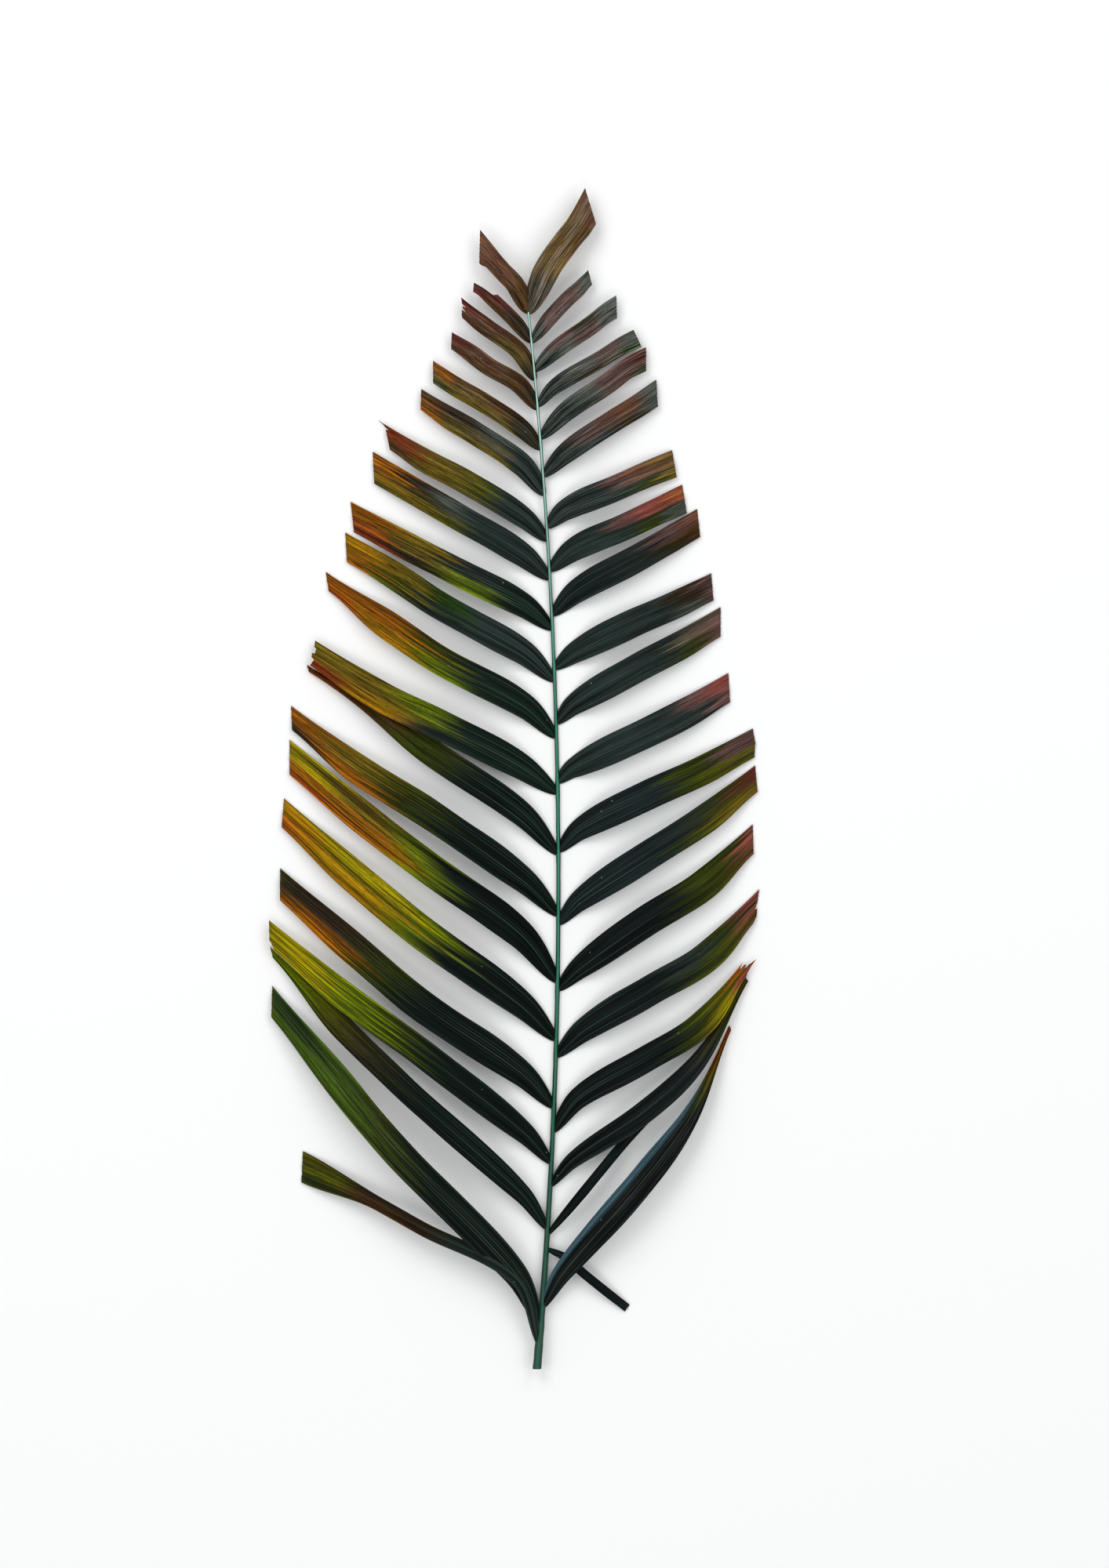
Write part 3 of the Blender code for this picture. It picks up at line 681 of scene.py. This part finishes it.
# How a leaflet's colours are laid over each other
grain = dict(
    # noises drawn out along the blade: changes across it, changes along it, detail, and the depth of the cut
    streak=(5.0, 1.6, 2.0, 0.0), fine=(22.0, 6.0, 2.5, 0.0), broad=(2.4, 1.2, 1.0, 11.0),
    hair=(24.0, 3.5, 0.5, 21.0), vein=(11.0, 2.4, 1.5, 5.0), dash=(20.0, 45.0, 1.0, 0.0), seedSpread=37.0,
    # how far each noise pushes the tones' borders about, and how soft each border is
    streakPush=0.26, finePush=0.14, borders=dict(toneInner=0.085, toneOuter=0.09, toneEnd=0.06),
    # from which value of its noise to which a mark fades in
    broadRange=(0.34, 0.66), fineRange=(0.36, 0.64), hairRange=(0.6, 0.7), dashRange=(0.54, 0.64),
    veinWidth=0.045,
    # where marks lie along the blade, or across it from its middle
    # the fold keys place the painted shade in the pleat valleys near the root, the ridge keys the painted
    # rib highlights
    foldShadeAlong=(0.1, 0.5), foldAt=0.35, foldShadePush=0.3, foldShadeAcross=(0.03, 0.2),
    ridgeAlong=(0.05, 0.6), ridgeAtCut=0.1, dryAcross=(0.965, 1.0), dryAlong=(0.985, 1.0),
    speckSize=(0.05, 0.09),
    # how much of a mark is left on the dark heart, or on the coloured zones; ridges and hairs are painted
    # highlights, creases painted shade
    streaksOnHeart=0.3, darkOnHeart=0.2, ridgesOnColour=0.3, hairsOnColour=0.2, creaseShadeLessOnHeart=0.4,
    # how much the painted highlight makes a place lively
    paintedGlossLively=0.7, ribBump=0.06,
)


def leafNoise(tree, leaf, kind):
    often, turning, detail, depth = grain[kind]
    across, along = times(tree, leaf["across"], often), times(tree, leaf["along"], turning)
    return noiseNode(tree, across, along, plus(tree, leaf["deep"], depth), detail)


def readLeaf(tree):
    # what every layer of a leaflet's colour starts from
    leaf = {}
    leaf["along"], leaf["across"], seed = splitNode(tree, attributeNode(tree, "leafPlace"))
    leaf["stops"] = splitNode(tree, attributeNode(tree, "toneStops"))
    # the crease mark is painted shade, the ridge mark painted highlight
    leaf["crease"], leaf["ridge"] = splitNode(tree, attributeNode(tree, "leafMarks"))[:2]
    # shine here is the amount of painted highlight, not the surface's gloss
    leaf["shine"], leaf["vivid"] = splitNode(tree, attributeNode(tree, "leafStyle"))[:2]
    leaf["edge"] = unsigned(tree, leaf["across"])
    leaf["deep"] = times(tree, seed, grain["seedSpread"])
    leaf["streak"] = leafNoise(tree, leaf, "streak")
    leaf["fine"] = leafNoise(tree, leaf, "fine")
    return leaf


def zoneColour(tree, leaf):
    # the dark heart, then three zones towards the cut, with borders that streaks push about; the later
    # layers need to know how coloured a place is, and how lively
    streakPush, finePush = grain["streakPush"], grain["finePush"]
    pushed = scaled(tree, leaf["streak"], streakPush, minus(tree, leaf["along"], 0.5 * streakPush))
    pushed = scaled(tree, leaf["fine"], finePush, minus(tree, pushed, 0.5 * finePush))
    colour = attributeNode(tree, "toneHeart")
    shares = []
    for stop, (tone, reach) in zip(leaf["stops"], grain["borders"].items()):
        share = rampNode(tree, pushed, minus(tree, stop, reach), plus(tree, stop, reach))
        colour = mixNode(tree, share, colour, attributeNode(tree, tone))
        shares.append(share)
    leaf["coloured"] = shares[0]
    vivid = times(tree, leaf["coloured"], leaf["vivid"])
    # painted highlight makes a place lively too
    leaf["lively"] = larger(tree, vivid, times(tree, leaf["shine"], grain["paintedGlossLively"]))
    return colour


def lightAndDark(tree, leaf, look, colour):
    # broad soft bands of painted light and shade over the pleats, then fine streaks, faint on the dark
    # heart, then painted shade in the pleat valleys near the root
    broad = leafNoise(tree, leaf, "broad")
    # broad bands of painted light and shade over the pleats
    bands = rampNode(tree, broad, *grain["broadRange"], look["bandDark"], look["bandLight"])
    streaks = rampNode(tree, leaf["fine"], *grain["fineRange"], look["darkest"], look["lightest"])
    faint = scaled(tree, minus(tree, streaks, 1.0), grain["streaksOnHeart"], 1.0)
    light = times(tree, bands, mixValueNode(tree, leaf["lively"], faint, streaks))
    # painted shade in the pleat valleys near the root, along a line on each side of the middle
    foldShadePlace = scaled(tree, broad, grain["foldShadePush"], grain["foldAt"])
    fromFold = unsigned(tree, minus(tree, leaf["edge"], foldShadePlace))
    foldShade = rampNode(tree, fromFold, *grain["foldShadeAcross"], 1.0, 0.0)
    foldShade = times(tree, foldShade, rampNode(tree, leaf["along"], *grain["foldShadeAlong"], look["fold"], 0.0))
    return multiplyNode(tree, colour, times(tree, light, minus(tree, 1.0, foldShade)))


def paleRibHighlights(tree, leaf, look, colour):
    # pale ribs and hairs on the heart, painted highlights, and over the whole length of the leaflets given
    # painted highlight
    hair = rampNode(tree, leafNoise(tree, leaf, "hair"), *grain["hairRange"])
    ribs = rampNode(tree, leaf["along"], *grain["ridgeAlong"], look["ridge"], grain["ridgeAtCut"])
    ribs = times(tree, leaf["ridge"], ribs)
    ribs = times(tree, ribs, scaled(tree, leaf["coloured"], grain["ridgesOnColour"] - 1.0, 1.0))
    # painted highlight streaks along hairs and rib tops, on leaflets given painted highlight
    glossy = times(tree, larger(tree, hair, leaf["ridge"]), leaf["shine"])
    pale = larger(tree, ribs, times(tree, glossy, look["tipRidge"]))
    hairLoss = (grain["hairsOnColour"] - 1.0) * look["hair"]
    hairs = times(tree, hair, scaled(tree, leaf["coloured"], hairLoss, look["hair"]))
    # the painted highlights' colours, paler where a place is lively
    tint = mixNode(tree, leaf["lively"], shaderColour(look["ridgeColour"]), shaderColour(look["ridgeTint"]))
    return mixNode(tree, larger(tree, pale, hairs), colour, tint)


def darkLines(tree, leaf, look, colour):
    # veins, where a noise crosses its middle value, rows of short dashes, and painted shade along the
    # creases
    fromVein = unsigned(tree, minus(tree, leafNoise(tree, leaf, "vein"), 0.5))
    veins = rampNode(tree, fromVein, grain["veinWidth"] * 0.25, grain["veinWidth"], 1.0, 0.0)
    dashes = rampNode(tree, leafNoise(tree, leaf, "dash"), *grain["dashRange"])
    dark = larger(tree, times(tree, dashes, look["dash"]), times(tree, veins, look["vein"]))
    onHeart = grain["darkOnHeart"]
    dark = times(tree, dark, scaled(tree, leaf["lively"], 1.0 - onHeart, onHeart))
    # painted shade along the creases, less on the dark heart
    less = grain["creaseShadeLessOnHeart"]
    creases = times(tree, leaf["crease"], scaled(tree, leaf["lively"], less, look["crease"] - less))
    return multiplyNode(tree, colour, minus(tree, 1.0, larger(tree, dark, creases)))


def dryEdges(tree, leaf, look, colour):
    alongEdge = times(tree, rampNode(tree, leaf["edge"], *grain["dryAcross"]), look["dryEdge"])
    atCut = times(tree, rampNode(tree, leaf["along"], *grain["dryAlong"]), look["dryEnd"])
    return mixNode(tree, larger(tree, alongEdge, atCut), colour, shaderColour(look["dryColour"]))


def paleDust(tree, leaf, look, colour):
    # small round specks, in the few cells of a pattern that the threshold leaves
    cells = addNode(tree, "ShaderNodeTexVoronoi", feature="F1")
    feed(tree, cells.inputs["Vector"], addNode(tree, "ShaderNodeTexCoord").outputs["Object"])
    cells.inputs["Scale"].default_value = look["dustScale"]
    speck = rampNode(tree, cells.outputs["Distance"], *grain["speckSize"], 1.0, 0.0)
    chosen = mathNode(tree, "GREATER_THAN", splitNode(tree, cells.outputs["Color"])[0], look["dustFree"])
    specks = times(tree, times(tree, speck, chosen), look["dust"])
    return mixNode(tree, specks, colour, shaderColour(look["dustColour"]))


def bladeMaterial(name, look):
    material, tree, shader = startMaterial(name, look)
    leaf = readLeaf(tree)
    colour = zoneColour(tree, leaf)
    for layer in (lightAndDark, paleRibHighlights, darkLines, dryEdges, paleDust):
        colour = layer(tree, leaf, look, colour)
    ribs = mathNode(tree, "SINE", times(tree, leaf["across"], math.pi * look["fineRibs"]))
    height = scaled(tree, ribs, grain["ribBump"], leaf["fine"])
    finishSurface(tree, shader, look, colour, leaf["streak"], height)
    return material


upperFace = dict(
    # bandDark and bandLight are painted light and shade over broad pleats; fold is the depth of the painted
    # shade in the pleat valleys near the root
    darkest=0.5, lightest=1.5, bandDark=0.72, bandLight=1.28, fold=0.65,
    # ridge, tipRidge and hair set the painted highlights on rib tops and hairs; ridgeColour and ridgeTint
    # are their colours
    ridge=0.5, tipRidge=0.6, hair=0.08, ridgeColour=(84, 112, 102), ridgeTint=(176, 170, 156),
    # crease is the depth of the painted shade along the creases
    dash=0.4, vein=0.75, crease=0.9,
    dryEdge=0.3, dryEnd=0.35, dryColour=(80, 60, 38),
    dustScale=120.0, dustFree=0.9, dust=0.5, dustColour=(150, 150, 130),
    glossy=0.36, dull=0.54, shine=0.05, bump=0.4, bumpDepth=0.3 * mm, fineRibs=22.0,
)
underFace = dict(
    # on the underside the painted rib highlights are browner and weaker, and the painted crease shade
    # lighter
    upperFace, darkest=0.9, lightest=1.6, ridgeColour=(110, 104, 80), tipRidge=0.2,
    dash=0.2, vein=0.3, crease=0.5, dust=0.2, glossy=0.55, dull=0.72,
)
cutEdge = dict(
    # on the rim the painted rib highlights are brown and weaker, there is no painted shade in the pleat
    # valleys near the root, and the painted crease shade is lighter
    upperFace, ridgeColour=(96, 78, 50), tipRidge=0.2, fold=0.0,
    dash=0.2, crease=0.4, dust=0.0, glossy=0.7, dull=0.8, bump=0.2,
)
stalkLook = dict(
    sideColour=(12, 46, 35), streakColour=(6, 22, 16),
    # the ridge's colours; the pale one towards the tip is a painted highlight
    baseColour=(20, 80, 58), ridgeColour=(46, 128, 98), paleHighlightColour=(176, 222, 208),
    streaksAround=9.0, streaksAlong=40.0, streakDetail=3.0, streakCut=1.5, streakRange=(0.35, 0.65),
    greenAlong=(0.1, 0.5), paleHighlightAlong=(0.6, 0.98), ridgeRange=(0.86, 1.08), ridgePush=0.3,
    glossy=0.3, dull=0.5, shine=0.4, bump=0.3, bumpDepth=0.15 * mm,
)


def stalkMaterial(name, look):
    # dark streaky sides, and a green ridge on top that turns pale towards the tip; the lighter ridge and
    # darker sides are partly the stalk's own colours and partly painted highlight and shade, and the pale
    # tip is a painted highlight
    material, tree, shader = startMaterial(name, look)
    up, along, around = splitNode(tree, attributeNode(tree, "stalkPlace"))
    turning = times(tree, around, look["streaksAround"])
    streak = noiseNode(tree, turning, times(tree, along, look["streaksAlong"]), look["streakCut"],
                       look["streakDetail"])
    streaky = rampNode(tree, streak, *look["streakRange"])
    sides = mixNode(tree, streaky, shaderColour(look["streakColour"]), shaderColour(look["sideColour"]))
    green = rampNode(tree, along, *look["greenAlong"])
    ridge = mixNode(tree, green, shaderColour(look["baseColour"]), shaderColour(look["ridgeColour"]))
    # the ridge turns pale towards the tip: a painted highlight
    ridge = mixNode(tree, rampNode(tree, along, *look["paleHighlightAlong"]), ridge, shaderColour(look["paleHighlightColour"]))
    onRidge = rampNode(tree, scaled(tree, streak, look["ridgePush"], up), *look["ridgeRange"])
    finishSurface(tree, shader, look, mixNode(tree, onRidge, sides, ridge), streak, streak)
    return material


def makeStalk():
    # a round rod, cut into rings, then pressed to a flat underside and a keel along its top
    bpy.ops.object.select_all(action="DESELECT")
    bpy.ops.mesh.primitive_cylinder_add(
        vertices=stalk["sides"], radius=1.0, depth=1.0, location=(0.0, 0.5, 0.0),
        rotation=(-0.5 * math.pi, 0.0, 0.0), calc_uvs=False)
    rod = bpy.context.object
    bpy.ops.object.transform_apply(location=True, rotation=True, scale=True)
    for edge in rod.data.edges:
        ends = [rod.data.vertices[index].co.y for index in edge.vertices]
        edge.select = abs(ends[0] - ends[1]) > 0.5
    for face in rod.data.polygons:
        face.select = False
    bpy.context.tool_settings.mesh_select_mode = (False, True, False)
    bpy.ops.object.mode_set(mode="EDIT")
    bpy.ops.mesh.subdivide(number_cuts=stalk["rings"] - 1)
    bpy.ops.object.mode_set(mode="OBJECT")

    rootYs = [rowToY(row["root"]) for row in leftLeaflets + rightLeaflets]
    points, places = [], []
    for vertex in rod.data.vertices:
        sideways, share, upwards = vertex.co
        y = between(stalk["cutEnd"], stalk["tip"], share)
        nearest = min(abs(y - rootY) for rootY in rootYs)
        swelling = 1.0 + stalk["nodeSwelling"] * (1.0 - smoothStep(0.0, stalk["nodeReach"], nearest))
        width = stalkWidth(y)
        keel = 1.0 - stalk["keel"] * smoothStep(stalk["keelFrom"], 1.0, upwards)
        up = (max(upwards, stalk["flatAt"]) - stalk["flatAt"]) / (1.0 - stalk["flatAt"])
        x = stalkX(y) + 0.5 * width * sideways * keel * swelling
        z = stalkUnderside(y) + up * width * stalk["heightPerWidth"]
        waver = stalk["waver"] * noise.noise(Vector((sideways, upwards, y * stalk["waverTurns"])))
        points.append((x + waver * sideways, y, max(0.0, z + waver * max(0.0, upwards))))
        places.append((up, share, math.atan2(upwards, sideways)))
    moveVertices(rod.data, points)
    storeAttribute(rod.data, "stalkPlace", places)
    selectOnly(rod)
    bpy.ops.object.shade_smooth_by_angle(angle=math.radians(stalk["smoothAngle"]))
    finishPiece(rod, "stalk", [stalkMaterial("waxyStalk", stalkLook)])


def makeLeaflets(blank, name, side, rows, first, materials):
    # lays one group of leaflets, joins them and gives them their thickness
    made = []
    for number, row in enumerate(rows, start=first):
        made.append(layLeaflet(blank, side, number, row))
    bpy.ops.object.select_all(action="DESELECT")
    for leaflet in made:
        leaflet.select_set(True)
    bpy.context.view_layer.objects.active = made[0]
    bpy.ops.object.join()
    group = bpy.context.object
    finishPiece(group, name, materials)
    selectOnly(group)
    walls = group.modifiers.new("solidify", "SOLIDIFY")
    walls.thickness = blade["thickness"]
    walls.offset = -1.0
    walls.use_even_offset = False
    walls.material_offset = 1          # the underside has the second material, and the rim the third
    walls.material_offset_rim = 2
    bpy.ops.object.modifier_apply(modifier=walls.name)
    bpy.ops.object.shade_smooth_by_angle(angle=math.radians(blade["smoothAngle"]))
    print(name, len(made), "leaflets", len(group.data.polygons), "faces")


studio = dict(
    lens=150.0, distance=5.0, aimX=-0.003, aimY=0.0768,
    floorSize=12.0, floorDrop=0.2 * mm, floorColour=(0.92, 0.92, 0.915), floorRoughness=0.9, floorShine=0.1,
    skyColour=(0.97, 0.985, 1.0), skyStrength=0.5, lampDistance=2.7,
    # a ring of round soft boxes: degrees round the frond from +X, degrees up, size in metres, watts
    lamps=dict(
        window=(125.0, 48.0, 1.7, 22.0), second=(50.0, 45.0, 1.5, 13.0), third=(-15.0, 45.0, 1.5, 10.0),
        fourth=(-90.0, 45.0, 1.5, 10.0), fifth=(195.0, 45.0, 1.5, 10.0),
    ),
)


def makeCamera(scene):
    # a long lens straight above the frond
    cameraData = bpy.data.cameras.new("camera")
    cameraData.lens = studio["lens"]
    camera = bpy.data.objects.new("camera", cameraData)
    camera.location = (studio["aimX"], studio["aimY"], studio["distance"])
    scene.collection.objects.link(camera)
    scene.camera = camera


def makeLamps(scene):
    aimAt = Vector((studio["aimX"], studio["aimY"], 0.0))
    for name, (turn, rise, size, watts) in studio["lamps"].items():
        turn, rise = math.radians(turn), math.radians(rise)
        away = Vector((math.cos(turn) * math.cos(rise), math.sin(turn) * math.cos(rise), math.sin(rise)))
        lampData = bpy.data.lights.new(name, "AREA")
        lampData.shape = "DISK"
        lampData.size = size
        lampData.energy = watts
        lamp = bpy.data.objects.new(name, lampData)
        lamp.location = aimAt + away * studio["lampDistance"]
        lamp.rotation_euler = (-away).to_track_quat("-Z", "Y").to_euler()
        scene.collection.objects.link(lamp)


def makeSky(scene):
    world = bpy.data.worlds.new("studio")
    world.use_nodes = True
    background = world.node_tree.nodes["Background"]
    background.inputs["Color"].default_value = (*studio["skyColour"], 1.0)
    background.inputs["Strength"].default_value = studio["skyStrength"]
    scene.world = world
    scene.view_settings.view_transform = "Standard"


def makeFloor():
    bpy.ops.object.select_all(action="DESELECT")
    bpy.ops.mesh.primitive_plane_add(size=studio["floorSize"], location=(0.0, 0.0, -studio["floorDrop"]))
    floor = bpy.context.object
    floor.name = "floor"
    paper = bpy.data.materials.new("paper")
    paper.use_nodes = True
    surface = paper.node_tree.nodes["Principled BSDF"]
    surface.inputs["Base Color"].default_value = (*studio["floorColour"], 1.0)
    surface.inputs["Roughness"].default_value = studio["floorRoughness"]
    surface.inputs["Specular IOR Level"].default_value = studio["floorShine"]
    floor.data.materials.append(paper)


makeCamera(bpy.context.scene)
makeLamps(bpy.context.scene)
makeSky(bpy.context.scene)
makeFloor()
print("studio ready")
makeStalk()
print("stalk ready")

bladeBlank = makeBladeBlank()
leafMaterials = [
    bladeMaterial("preservedUpperFace", upperFace),
    bladeMaterial("preservedUnderFace", underFace),
    bladeMaterial("driedCutEdge", cutEdge),
]
# Each group's side, and its first and last leaflet counted from the tip
groups = dict(
    leftTipLeaflets=("left", 1, 8), leftMiddleLeaflets=("left", 9, 15), leftBaseLeaflets=("left", 16, 21),
    rightTipLeaflets=("right", 1, 8), rightMiddleLeaflets=("right", 9, 15),
    rightBaseLeaflets=("right", 16, 21),
)
for name, (side, first, last) in groups.items():
    sideRows = leftLeaflets if side == "left" else rightLeaflets
    makeLeaflets(bladeBlank, name, side, sideRows[first - 1:last], first, leafMaterials)
bpy.data.objects.remove(bladeBlank, do_unlink=True)
print("leaflets ready")
